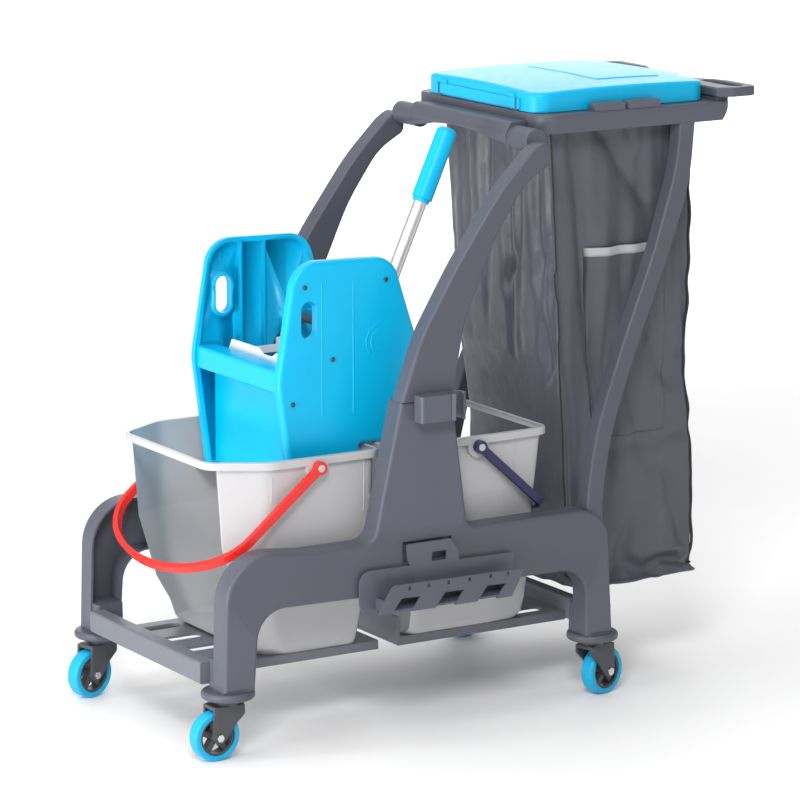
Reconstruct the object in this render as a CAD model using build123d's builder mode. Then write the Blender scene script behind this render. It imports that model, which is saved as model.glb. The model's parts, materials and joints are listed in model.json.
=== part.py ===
"""Housekeeping cart: a twin-bucket mopping trolley with a press wringer and a lidded bag. Millimetres, +Z up.

The push handle is at +X and the front bucket at -X. The floor is z = 0. Stations along the cart are measured
from the middle of the wheelbase, and the work planes shift them to the frame, whose origin is the middle of
the whole cart's footprint. Left is -Y. Left pieces are drawn, right ones are their mirror images.
"""

import math
import os

from build123d import *

# ---- driving dimensions ----
MID_X = -135.22  # middle of the wheelbase, seen from the origin
WHEELBASE = 693.0
TRACK = 438.0

WHEEL_R = 40.0
WHEEL_W = 24.0
HUB_R = 30.5
CASTER_TRAIL = 25.0
STEM_R = 7.0
AXLE_R = 4.0
RUN = 0.05  # radial clearance of a running fit

FRAME_IN = 210.0  # inner and outer face of a side frame
FRAME_OUT = 250.0
FOOT_Z = 112.0
BEAM_TOP_Z = 327.0
SEAM_Z = 545.0  # where the upper arm plugs onto the column
WALL = 4.0
ARM_LEAN = 1.0  # degrees, inward
ARM_T = 34.0

DECK_Z = 116.0
DECK_T = 15.0
DECK_HALF = 147.0
RING_Z = 946.0
RING_TOP_Z = 977.0
RING_HALF = 198.0
RING_FRONT = 255.0
RING_REAR = 638.0

LID_GAP = 1.0
LID_FRONT = 258.0
LID_REAR = 600.0
LID_HALF = 172.0
LID_TOP_Z = 1013.0
HINGE_S = 262.0
HINGE_Z = 990.0
HINGE_R = 3.0
LUG_Y = 118.0  # the ring's hinge lugs
HINGE_COVER = 4.0  # proud strip over the hinge on the lid's front
HINGE_COVER_H = 17.0
LIFT_TAB_T = 5.0

BAG_HALF = 163.0
BAG_FLOOR_Z = 168.0
BAG_TOP_Z = 970.0
BAG_WALL = 3.0

RIM_Z = 461.0
BUCKET_FLOOR_Z = 131.0
BUCKET_WALL = 3.0
RIM_LIP = 8.0
FRONT_PIVOT_S = -166.0
REAR_PIVOT_S = 136.0
PIVOT_Z = 445.0
NOSE_R = 16.0
NOSE_ROUNDING = 12.0  # extra corner rounding of a narrowed nose
BAIL_HALF = 201.0
BAIL_SECTION = (13.0, 10.0)
LEDGE_Z = 388.0  # the wringer stands on ledges inside the front bucket
FRONT_BAIL = (165.0, 272.0, 39.0)  # straight length, whole reach, degrees below level at rest
REAR_BAIL = (152.0, 196.0, 42.0)

PLATE_OUT = 148.0  # outer face of a wringer side plate
PLATE_T = 16.0
SHAFT_S = -20.0
SHAFT_Z = 627.0
SHAFT_R = 8.0
LEVER_Y = -110.0
LEVER_LEAN = 24.4  # degrees behind upright
LEVER_L = 362.0
TUBE_R = 11.0
GRIP_R = 17.0
GRIP_L = 122.0
CRANK_R = 55.0
CRANK_LEAN = 35.0  # degrees ahead of straight down

PARTS = "parts"
BOTTOM = (Align.CENTER, Align.CENTER, Align.MIN)
BACKED = (Align.CENTER, Align.MIN, Align.CENTER)


# ---- work planes, pieces and files ----
def side_plane(y, lean=0.0):
    """Lengthwise upright plane facing left: sketch x is the station, sketch y the height."""
    a = math.radians(lean)
    return Plane(origin=(MID_X, y, 0), x_dir=(1, 0, 0), z_dir=(0, -math.cos(a), math.sin(a)))


def level(z):
    """Level plane at height z: sketch x is the station."""
    return Plane(origin=(MID_X, 0, z), x_dir=(1, 0, 0), z_dir=(0, 0, 1))


def across(s):
    """Upright plane across the cart at station s, facing the push handle: sketch x is y, sketch y the height."""
    return Plane(origin=(MID_X + s, 0, 0), x_dir=(0, 1, 0), z_dir=(1, 0, 0))


def at(s, y, z):
    """A point given by its station."""
    return (MID_X + s, y, z)


def outline(corners):
    """A closed face whose corners are (x, y, radius)."""
    with BuildSketch() as face:
        with BuildLine():
            FilletPolyline(*[(x, y) for x, y, _ in corners], radius=[r for _, _, r in corners], close=True)
        make_face()
    return face.sketch


def broad_faces(builder):
    """The faces that look sideways out of the cart."""
    return builder.faces().filter_by(lambda face: abs(face.normal_at().Y) > 0.95)


def save(part, name):
    part.label = name
    export_step(part, f"{PARTS}/{name}.step")


def save_pair(left, name):
    save(left, f"left_{name}")
    with BuildPart() as right:
        mirror(left, about=Plane.XZ)
    save(right.part, f"right_{name}")


# ---- frame ----
SIDE_CORNERS = [
    (-369, FOOT_Z, 1),
    (-362, 338, 78),
    (-215, 323, 60),
    (-94, 323, 28),
    (-44, SEAM_Z, 1),
    (53, SEAM_Z, 1),
    (82, BEAM_TOP_Z, 20),
    (354, BEAM_TOP_Z, 56),
    (367, FOOT_Z, 1),
    (315, FOOT_Z, 1),
    (312, 228, 47),
    (-304, 239, 50),
    (-313, FOOT_Z, 1),
]
RECESS = (4, 301, 92, 34)  # rack hook recess: centre station and height, length, height
RECESS_DEPTH = 6.0
FOOT_W = 61.0
FOOT_TOP_Z = 160.0
SOCKET_TOP_Z = 152.0


def side_frame():
    """Left front leg, side beam, rear leg and column stub: one channel moulding, open on the inside."""
    profile = outline(SIDE_CORNERS)
    with BuildPart() as frame:
        with BuildSketch(side_plane(-FRAME_IN)):
            add(profile)
        extrude(amount=FRAME_OUT - FRAME_IN)
        fillet(frame.faces().sort_by(Axis.Y)[0].outer_wire().edges(), 6)
        with BuildSketch(side_plane(-FRAME_IN)):
            add(profile)
            offset(amount=-WALL, kind=Kind.INTERSECTION, mode=Mode.REPLACE)
            for s in range(-240, 320, 60):
                with Locations((s, 280)):
                    Rectangle(3, 120, mode=Mode.SUBTRACT)
            for z in (380, 440, 500):
                with Locations((0, z)):
                    Rectangle(220, 3, mode=Mode.SUBTRACT)
        extrude(amount=FRAME_OUT - FRAME_IN - WALL, mode=Mode.SUBTRACT)
        with BuildSketch(side_plane(-SPIGOT_IN - SPIGOT_FIT)):
            add(outline(SPIGOT))
        extrude(amount=SPIGOT_OUT - SPIGOT_IN - SPIGOT_FIT)
        for sign in (-1, 1):
            with BuildSketch(level(FOOT_Z)):
                with Locations((sign * 341, -(FRAME_OUT - FOOT_W / 2))):
                    RectangleRounded(50, FOOT_W - 1, 6)
            extrude(amount=FOOT_TOP_Z - FOOT_Z, taper=1)
            with Locations(at(sign * WHEELBASE / 2, -TRACK / 2, FOOT_Z)):
                Cylinder(STEM_R + RUN, SOCKET_TOP_Z - FOOT_Z, align=BOTTOM, mode=Mode.SUBTRACT)
        s, z, length, height = RECESS
        with Locations(at(s, -FRAME_OUT, z)):
            Box(length, 2 * RECESS_DEPTH, height, mode=Mode.SUBTRACT)
            Box(length + 8, 12, height + 8, align=BACKED)
        with Locations(at(s, -FRAME_OUT, z)):
            Box(length, 2 * RECESS_DEPTH, height, mode=Mode.SUBTRACT)
    return frame.part


def cross_beam(s):
    """Level channel between two legs, open underneath."""
    half = FRAME_OUT - FOOT_W
    with BuildPart() as beam:
        with Locations(at(s, 0, 117)):
            Box(28, 2 * half, 36, align=BOTTOM)
        fillet(beam.edges().filter_by(Axis.Y), 4)
        with Locations(at(s, 0, 117)):
            Box(20, 2 * half - 10, 32, align=BOTTOM, mode=Mode.SUBTRACT)
    return beam.part


def tray(front, rear, front_wall):
    """Level deck that a bucket stands on, open underneath, with drain slots and an optional front wall."""
    middle = (front + rear) / 2
    length = rear - front
    with BuildPart() as body:
        with Locations(at(middle, 0, DECK_Z)):
            Box(length, 2 * DECK_HALF, DECK_T, align=BOTTOM)
            Box(length - 2 * WALL, 2 * DECK_HALF - 2 * WALL, DECK_T - WALL, align=BOTTOM, mode=Mode.SUBTRACT)
        if front_wall:
            with Locations(at(front + WALL / 2, 0, DECK_Z)):
                Box(WALL, 2 * DECK_HALF, front_wall, align=BOTTOM)
        with BuildSketch(level(DECK_Z)):
            with Locations((middle, 0)):
                with GridLocations(length / 3.2, DECK_HALF / 2, 3, 4):
                    SlotOverall(length / 4.4, 26)
        extrude(amount=DECK_T, mode=Mode.SUBTRACT)
    return body.part


def bumper(s_sign, y_sign):
    """Soft disc round a leg's foot that meets walls and furniture first."""
    with BuildPart() as disc:
        with Locations(at(s_sign * WHEELBASE / 2, y_sign * TRACK / 2, FOOT_Z - 13)):
            Cylinder(43, 13, align=BOTTOM)
        fillet(disc.edges(), 5)
        with Locations(at(s_sign * WHEELBASE / 2, y_sign * TRACK / 2, FOOT_Z - 13)):
            Cylinder(STEM_R + 2, 13, align=BOTTOM, mode=Mode.SUBTRACT)
    return disc.part


ARM_CORNERS = [
    (-54, SEAM_Z - 28, 6),
    (-6, 648, 300),
    (62, 757, 600),
    (143, 868, 400),
    (207, 932, 90),
    (243, 950, 15),
    (243, 906, 15),
    (193, 878, 120),
    (134, 793, 350),
    (75, 660, 250),
    (48, SEAM_Z - 28, 6),
]
SPIGOT = [(-32, SEAM_Z - 1, 1), (0, 600, 6), (44, 600, 6), (42, SEAM_Z - 1, 1)]
SPIGOT_IN = 222.0
SPIGOT_OUT = 243.0
SPIGOT_FIT = 0.3


def upper_arm():
    """Left arm: a tapering bow from the column's seam up and back to the crossbar."""
    base = FRAME_OUT + SEAM_Z * math.tan(math.radians(ARM_LEAN))
    with BuildPart() as arm:
        with BuildSketch(side_plane(-base, ARM_LEAN)):
            add(outline(ARM_CORNERS))
        extrude(amount=-ARM_T)
        fillet(broad_faces(arm).edges(), 5)
        with Locations(at(0, -230, SEAM_Z)):
            Box(200, 100, 60, align=(Align.CENTER, Align.CENTER, Align.MAX), mode=Mode.SUBTRACT)
        with BuildSketch(side_plane(-SPIGOT_IN)):
            add(outline(SPIGOT))
            offset(amount=SPIGOT_FIT, mode=Mode.REPLACE)
        extrude(amount=SPIGOT_OUT - SPIGOT_IN + SPIGOT_FIT, mode=Mode.SUBTRACT)
    return arm.part


CROSSBAR = [(224, 921, 8), (212, 944, 9), (224, 965, 9), (255, 965, 4), (255, 921, 4)]
CROSSBAR_HALF = 150.0
ARCH_R = 670.0
ARCH_TOP_Z = 942.0
NECK = (236, 940)
NECK_R = 19.0
NECK_HALF = 208.6


def arch_crossbar():
    """Bar between the two arms, with a neck at each end."""
    profile = outline(CROSSBAR)
    with BuildPart() as bar:
        with BuildSketch(side_plane(0)):
            add(profile)
        extrude(amount=CROSSBAR_HALF, both=True)
        fillet(bar.faces().sort_by(Axis.Y)[0].edges(), 2)
        fillet(bar.faces().sort_by(Axis.Y)[-1].edges(), 2)
        with BuildSketch(across(180)):
            with Locations((0, ARCH_TOP_Z - ARCH_R)):
                Circle(ARCH_R)
        extrude(amount=80, mode=Mode.SUBTRACT)
        for sign in (-1, 1):
            with BuildSketch(side_plane(sign * (CROSSBAR_HALF - 4))):
                with Locations(NECK):
                    Circle(NECK_R)
            extrude(amount=sign * (CROSSBAR_HALF - 4 - NECK_HALF))
    return bar.part


RING_IN_FRONT = 275.0
RING_IN_REAR = 600.0
RING_IN_HALF = 168.0


def bag_ring():
    """Oblong ring that the bag hangs in: a channel open underneath, with two lugs for the lid's hinge pin."""
    middle = (RING_FRONT + RING_REAR) / 2
    length = RING_REAR - RING_FRONT
    in_middle = (RING_IN_FRONT + RING_IN_REAR) / 2
    in_length = RING_IN_REAR - RING_IN_FRONT
    height = RING_TOP_Z - RING_Z
    with BuildPart() as ring:
        with BuildSketch(level(RING_Z)):
            with Locations((middle, 0)):
                RectangleRounded(length, 2 * RING_HALF, 30)
            with Locations((in_middle, 0)):
                RectangleRounded(in_length, 2 * RING_IN_HALF, 16, mode=Mode.SUBTRACT)
        extrude(amount=height)
        fillet(ring.faces().sort_by(Axis.Z)[-1].outer_wire().edges(), 3)
        with BuildSketch(level(RING_Z)):
            with Locations((middle, 0)):
                RectangleRounded(length - 2 * WALL, 2 * RING_HALF - 2 * WALL, 26)
            with Locations((in_middle, 0)):
                RectangleRounded(in_length + 2 * WALL, 2 * RING_IN_HALF + 2 * WALL, 20, mode=Mode.SUBTRACT)
            for y in (-183, 183):
                with Locations((530, y)):
                    Rectangle(60, 40, mode=Mode.SUBTRACT)
            for y in (-LUG_Y, LUG_Y):
                with Locations((264, y)):
                    Rectangle(20, 12, mode=Mode.SUBTRACT)
        extrude(amount=height - WALL, mode=Mode.SUBTRACT)
        with BuildSketch(side_plane(-RING_HALF - 1)):
            with BuildLine():
                Polyline((612, RING_Z - 1), (640, RING_TOP_Z - 1), (640, RING_Z - 1), close=True)
            make_face()
        extrude(amount=-2 * RING_HALF - 2, mode=Mode.SUBTRACT)
        for y in (-LUG_Y, LUG_Y):
            with BuildSketch(side_plane(y + 2.5)):
                with Locations((HINGE_S, HINGE_Z)):
                    Circle(6)
                with Locations((HINGE_S, (HINGE_Z + RING_TOP_Z) / 2)):
                    Rectangle(12, HINGE_Z - RING_TOP_Z)
                with Locations((HINGE_S, HINGE_Z)):
                    Circle(HINGE_R + 0.01, mode=Mode.SUBTRACT)
            extrude(amount=5)
    return ring.part


HANDLE_CORNERS = [
    (603, -196, 8),
    (628, -208, 12),
    (670, -208, 14),
    (682, -190, 12),
    (682, -118, 20),
    (646, -48, 24),
    (646, 48, 24),
    (682, 118, 20),
    (682, 190, 12),
    (670, 208, 14),
    (628, 208, 12),
    (603, 196, 8),
]
HANDLE_Z = 984.0
HANDLE_TOP_Z = 1000.0


def push_handle():
    """Push handle with two grip loops behind the lid, on a base block that stands on the ring."""
    shape = outline(HANDLE_CORNERS)
    with BuildPart() as handle:
        with BuildSketch(level(HANDLE_Z)):
            add(shape)
            with Locations((651, 143), (651, -143)):
                SlotOverall(96, 25, rotation=90, mode=Mode.SUBTRACT)
        extrude(amount=HANDLE_TOP_Z - HANDLE_Z)
        fillet(handle.faces().sort_by(Axis.Z)[-1].edges(), 4)
        fillet(handle.faces().sort_by(Axis.Z)[0].edges(), 3)
        with BuildSketch(level(RING_TOP_Z)):
            with Locations((620, 0)):
                RectangleRounded(26, 376, 6)
        extrude(amount=HANDLE_TOP_Z - RING_TOP_Z - 6)
    return handle.part


UPRIGHT_CORNERS = [
    (528, 956, 6),
    (519, 880, 400),
    (468, 739, 800),
    (402, 594, 800),
    (344, 453, 500),
    (322, 340, 400),
    (319, 275, 6),
    (351, 275, 6),
    (353, 340, 400),
    (374, 445, 500),
    (428, 580, 800),
    (495, 725, 800),
    (545, 848, 400),
    (559, 956, 6),
]
UPRIGHT_LEAN = 3.75
UPRIGHT_T = 30.0
UPRIGHT_TOP_Y = 198.0


def rear_upright():
    """Left S-curved strut from the side beam's rear shoulder up to the bag ring."""
    a = math.radians(UPRIGHT_LEAN)
    base = UPRIGHT_TOP_Y + RING_Z * math.tan(a) - UPRIGHT_T / math.cos(a)
    shoulder = outline(SIDE_CORNERS)
    with BuildPart() as strut:
        with BuildSketch(side_plane(-base, UPRIGHT_LEAN)):
            add(outline(UPRIGHT_CORNERS))
        extrude(amount=UPRIGHT_T)
        fillet(broad_faces(strut).edges(), 4)
        with BuildSketch(side_plane(-FRAME_IN + 30)):
            add(shoulder)
            offset(amount=0.2, mode=Mode.REPLACE)
        extrude(amount=80, mode=Mode.SUBTRACT)
        with Locations(at(540, -190, RING_Z)):
            Box(200, 120, 40, align=BOTTOM, mode=Mode.SUBTRACT)
    return strut.part


RACK_IN = FRAME_OUT + 6
RACK_OUT = 288.0
RACK_FLOOR_Z = 216.0
RACK_SKIN = 3.5
RACK_BACK = [(-128, 210, 22), (-128, 282, 22), (165, 278, 6), (165, 214, 6), (-100, 210, 8)]
RACK_RAIL = [(-112, 214, 3), (-82, 260, 12), (167, 257, 4), (142, 213, 3)]
RACK_HOOK = [(-40, 316, 4), (42, 316, 4), (58, 296, 8), (60, 268, 3), (-28, 268, 3), (-38, 290, 6)]
RACK_RIBS = (-96, -18, 62, 138)
RACK_NOTCHES = (-85, -3, 77)
RACK_SLITS = (-52, -16, 21, 61, 101, 134)


def tool_rack():
    """Left holder for brushes and mop heads: a toothed rail before a shelf, hooked into the side beam's recess."""
    back = outline(RACK_BACK)
    rail = outline(RACK_RAIL)
    hook = outline(RACK_HOOK)
    s, z, length, height = RECESS
    middle_y = -(RACK_IN + RACK_OUT) / 2
    depth = RACK_OUT - RACK_IN
    with BuildPart() as rack:
        with BuildSketch(side_plane(-RACK_IN)):
            add(back)
        extrude(amount=RACK_SKIN)
        with BuildSketch(side_plane(-RACK_OUT)):
            add(rail)
            for notch in RACK_NOTCHES:
                with BuildLine():
                    Polyline((notch - 5, 208), (notch + 18, 237), (notch + 54, 236), (notch + 32, 208), close=True)
                make_face(mode=Mode.SUBTRACT)
            for slit in RACK_SLITS:
                with Locations((slit, 252)):
                    Rectangle(5, 6, mode=Mode.SUBTRACT)
        extrude(amount=-RACK_SKIN)
        with Locations(at(22, middle_y, RACK_FLOOR_Z)):
            Box(240, depth - 0.5, RACK_SKIN, align=BOTTOM)
        for rib in RACK_RIBS:
            with Locations(at(rib, middle_y, RACK_FLOOR_Z)):
                Box(4, depth - 0.5, 20, align=BOTTOM)
        with BuildSketch(side_plane(-RACK_IN)):
            add(hook)
            with Locations((21, 290.5)):
                RectangleRounded(28, 15, 2, mode=Mode.SUBTRACT)
        extrude(amount=RACK_SKIN)
        with Locations(at(s, -RACK_IN, z + 9)):
            Box(length - 20, 10, 4, align=(Align.CENTER, Align.MIN, Align.CENTER))
    return rack.part


CLIP_Z = 514.0
CLIP_H = 43.0
CLIP_AXIS = (46, -267)
CLIP_R = 11.5


def mop_clip():
    """Left spring clip on the column that holds an upright mop handle."""
    with BuildPart() as clip:
        with BuildSketch(level(CLIP_Z)):
            with Locations((6, -(FRAME_OUT + 14))):
                RectangleRounded(58, 28, 5)
            with Locations(CLIP_AXIS):
                Circle(CLIP_R + 5)
            with Locations((34, -(FRAME_OUT + 6))):
                Rectangle(40, 12)
            with Locations(CLIP_AXIS):
                Circle(CLIP_R, mode=Mode.SUBTRACT)
            with Locations((CLIP_AXIS[0], CLIP_AXIS[1] - 12)):
                Rectangle(15, 16, mode=Mode.SUBTRACT)
        extrude(amount=CLIP_H)
    return clip.part


def bag_clips():
    """Four blocks on the ring's sides that pinch the bag's hem."""
    with BuildPart() as clips:
        for y in (-186, 186):
            for s, length in ((388, 60), (456, 64)):
                with Locations(at(s, y, RING_TOP_Z)):
                    Box(length, 20, 13, align=BOTTOM)
        fillet(clips.edges().filter_by(Axis.Y).group_by(Axis.Z)[-1], 5)
    return clips.part


# ---- casters ----
CASTERS = {
    "front_left": (-1, -1, 180.0),
    "front_right": (-1, 1, 194.5),
    "rear_left": (1, -1, 14.5),
    "rear_right": (1, 1, 4.0),
}
FORK_IN = 14.5
FORK_OUT = 19.0
HEAD_Z = 84.0


def caster_base(s_sign, y_sign, heading):
    """Plane on the floor under a swivel axis, its x pointing the way the wheel trails."""
    a = math.radians(heading)
    return Plane(
        origin=at(s_sign * WHEELBASE / 2, y_sign * TRACK / 2, 0),
        x_dir=(math.cos(a), math.sin(a), 0),
        z_dir=(0, 0, 1),
    )


def axle_plane(base, y):
    """Upright plane along the trail, y to the left of the wheel's middle, facing away from it."""
    return Plane(origin=base.origin - base.y_dir * y, x_dir=base.x_dir, z_dir=-base.y_dir)


def caster_fork(base):
    """Two arms under a swivel head, with the stem that turns in the leg's socket."""
    arm = outline([(-20, 89, 1), (-20, 74, 6), (-4, 60, 14), (13, 36, 8), (25, 27, 10), (37, 38, 10), (34, 89, 1)])
    with BuildPart() as fork:
        for y in (FORK_IN, -FORK_OUT):
            with BuildSketch(axle_plane(base, y)):
                add(arm)
            extrude(amount=FORK_OUT - FORK_IN)
        with BuildSketch(base.offset(HEAD_Z)):
            with Locations((6, 0)):
                RectangleRounded(56, 2 * FORK_OUT, 8)
        extrude(amount=6)
        with BuildSketch(base.offset(HEAD_Z + 2)):
            Circle(20)
        extrude(amount=9)
        with BuildSketch(base.offset(HEAD_Z + 11)):
            Circle(12)
        extrude(amount=FOOT_Z - 13 - HEAD_Z - 11.5)
        with BuildSketch(base.offset(HEAD_Z + 11)):
            Circle(STEM_R)
        extrude(amount=SOCKET_TOP_Z - 2 - HEAD_Z - 11)
        with BuildSketch(axle_plane(base, -FORK_OUT - 1)):
            with Locations((CASTER_TRAIL, WHEEL_R)):
                Circle(AXLE_R + 0.01)
        extrude(amount=2 * FORK_OUT + 2, mode=Mode.SUBTRACT)
    return fork.part


def axle_bolt(base):
    """Bolt through the fork's arms and the hub, with a domed head and a nut."""
    with BuildPart() as bolt:
        with BuildSketch(axle_plane(base, -FORK_OUT - 3)):
            with Locations((CASTER_TRAIL, WHEEL_R)):
                Circle(AXLE_R)
        extrude(amount=2 * FORK_OUT + 6)
        with BuildSketch(axle_plane(base, FORK_OUT)):
            with Locations((CASTER_TRAIL, WHEEL_R)):
                Circle(6.5)
        extrude(amount=3)
        with BuildSketch(axle_plane(base, -FORK_OUT - 3)):
            with Locations((CASTER_TRAIL, WHEEL_R)):
                RegularPolygon(6.5, 6)
        extrude(amount=3)
    return bolt.part


def wheel_tread(base):
    """Rounded tyre band."""
    with BuildPart() as tread:
        with BuildSketch(axle_plane(base, -WHEEL_W / 2)):
            with Locations((CASTER_TRAIL, WHEEL_R)):
                Circle(WHEEL_R)
        extrude(amount=WHEEL_W)
        fillet(tread.edges(), 4)
        with BuildSketch(axle_plane(base, -WHEEL_W / 2)):
            with Locations((CASTER_TRAIL, WHEEL_R)):
                Circle(HUB_R)
        extrude(amount=WHEEL_W, mode=Mode.SUBTRACT)
    return tread.part


SPOKES = 5


def wheel_hub(base):
    """Hub with a rim, a bore boss and five spokes between open windows."""
    with BuildPart() as hub:
        with BuildSketch(axle_plane(base, -10)):
            with Locations((CASTER_TRAIL, WHEEL_R)):
                Circle(HUB_R)
                Circle(26.5, mode=Mode.SUBTRACT)
        extrude(amount=20)
        with BuildSketch(axle_plane(base, -13.5)):
            with Locations((CASTER_TRAIL, WHEEL_R)):
                Circle(9.5)
        extrude(amount=27)
        with BuildSketch(axle_plane(base, -7)):
            with Locations((CASTER_TRAIL, WHEEL_R)):
                for i in range(SPOKES):
                    with PolarLocations(18, 1, start_angle=90 + i * 360 / SPOKES):
                        Rectangle(19, 9)
        extrude(amount=14)
        with BuildSketch(axle_plane(base, -14)):
            with Locations((CASTER_TRAIL, WHEEL_R)):
                Circle(AXLE_R + RUN)
        extrude(amount=28, mode=Mode.SUBTRACT)
    return hub.part


# ---- lid and bag ----
def lid():
    """Domed lid with a deep skirt, hinged along its front, with a lift tab over the push handle's gap."""
    middle = (LID_FRONT + LID_REAR) / 2
    length = LID_REAR - LID_FRONT
    base = RING_TOP_Z + LID_GAP
    dome = 3600.0
    with BuildPart() as cover:
        with BuildSketch(level(base)):
            with Locations((middle, 0)):
                RectangleRounded(length, 2 * LID_HALF, 30)
        extrude(amount=LID_TOP_Z + 6 - base)
        with Locations(at(middle, 0, LID_TOP_Z + 4 - dome)):
            Sphere(dome, mode=Mode.INTERSECT)
        fillet(cover.faces().sort_by(Axis.Z)[-1].edges(), 7)
        with BuildSketch(level(base)):
            with Locations((middle, 0)):
                RectangleRounded(length - 6, 2 * LID_HALF - 6, 27)
        extrude(amount=LID_TOP_Z - 8 - base, mode=Mode.SUBTRACT)
        with BuildSketch(level(HANDLE_TOP_Z + LID_GAP)):
            with Locations((LID_REAR + 8, 0)):
                RectangleRounded(48, 92, 9)
        extrude(amount=LIFT_TAB_T)
        with Locations(at(LID_FRONT, 0, base + 3)):
            Box(2 * HINGE_COVER, 2 * LUG_Y + 20, HINGE_COVER_H, align=BOTTOM)
        for y in (-104, 104):
            with Locations(at(HINGE_S, y, base + 4)):
                Box(14, 16, LID_TOP_Z - 8 - base - 4, align=BOTTOM)
        for y in (-LUG_Y, LUG_Y):
            with Locations(at(LID_FRONT, y, base)):
                Box(30, 7, 20, align=BOTTOM, mode=Mode.SUBTRACT)
        with BuildSketch(side_plane(LUG_Y + 12)):
            with Locations((HINGE_S, HINGE_Z)):
                Circle(HINGE_R + RUN)
        extrude(amount=2 * LUG_Y + 24, mode=Mode.SUBTRACT)
    return cover.part


def lid_hinge_pin():
    """Steel rod through the ring's lugs and the lid's."""
    with BuildPart() as pin:
        with BuildSketch(side_plane(LUG_Y + 4)):
            with Locations((HINGE_S, HINGE_Z)):
                Circle(HINGE_R)
        extrude(amount=2 * LUG_Y + 8)
    return pin.part


BAG_LEVELS = [(BAG_FLOOR_Z, 352, 604), (250, 350, 598), (450, 337, 583), (BAG_TOP_Z, 290, 572)]


def bag():
    """Open-topped fabric bag, its front leaning back and its foot wider than its mouth."""
    with BuildPart() as sack:
        for (z0, f0, r0), (z1, f1, r1) in zip(BAG_LEVELS, BAG_LEVELS[1:]):
            for z, front, rear in ((z0, f0, r0), (z1, f1, r1)):
                with BuildSketch(level(z)):
                    with Locations(((front + rear) / 2, 0)):
                        RectangleRounded(rear - front, 2 * BAG_HALF, 14)
            loft(ruled=True)
        for (z0, f0, r0), (z1, f1, r1) in zip(BAG_LEVELS, BAG_LEVELS[1:]):
            low = z0 + BAG_WALL if z0 == BAG_FLOOR_Z else z0
            for z, front, rear in ((low, f0, r0), (z1, f1, r1)):
                with BuildSketch(level(z)):
                    with Locations(((front + rear) / 2, 0)):
                        RectangleRounded(rear - front - 2 * BAG_WALL, 2 * (BAG_HALF - BAG_WALL), 11)
            loft(ruled=True, mode=Mode.SUBTRACT)
    return sack.part


def bag_zip():
    """Zip tape and piping up the bag's rear left edge."""
    with BuildPart() as tape:
        with BuildSketch(side_plane(-BAG_HALF - 0.2)):
            with BuildLine():
                Polyline((572, 178), (562, 935), (570, 935), (579, 450), (594, 250), (600, 178), close=True)
            make_face()
        extrude(amount=2)
    return tape.part


def bag_pocket():
    """Patch pocket on the bag's left side."""
    with BuildPart() as pocket:
        with BuildSketch(side_plane(-BAG_HALF - 0.2)):
            with BuildLine():
                Polyline((372, 742), (395, 512), (538, 512), (538, 742), close=True)
            make_face()
        extrude(amount=3)
    return pocket.part


# ---- buckets ----
FRONT_BUCKET = [  # height, front and rear station, half-widths at the front and along the sides, front corner
    (BUCKET_FLOOR_Z, -240, -64, 124, 144, -200),
    (143, -260, -63, 128, 150, -215),
    (170, -266, -62, 134, 158, -225),
    (212, -290, -60, 134, 168, -240),
    (318, -322, -54, 134, 184, -250),
    (452, -332, -53, 136, 187, -250),
]
REAR_BUCKET = [
    (BUCKET_FLOOR_Z, 250, 22, 142, 146, 190),
    (143, 261, 19, 148, 152, 190),
    (170, 263, 18, 156, 160, 190),
    (212, 264, 5, 163, 170, 190),
    (318, 266, -8, 173, 182, 190),
    (366, 268, -14, 178, 186, 190),
    (452, 274, -21, 183, 187, 190),
]


def bucket_section(front, rear, nose_half, half, corner, grow, radius):
    """Oblong with a narrowed nose, grown outward by grow."""
    out = math.copysign(grow, front - rear)
    tuck = half - nose_half  # a blunt nose has tighter corners
    soft = min(NOSE_ROUNDING, tuck)
    return outline(
        [
            (rear - out, -half - grow, radius),
            (corner, -half - grow, NOSE_R + grow + 2.5 * soft),
            (front + out, -nose_half - 0.6 * grow, NOSE_R + grow + soft),
            (front + out, nose_half + 0.6 * grow, NOSE_R + grow + soft),
            (corner, half + grow, NOSE_R + grow + 2.5 * soft),
            (rear - out, half + grow, radius),
        ]
    )


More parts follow.
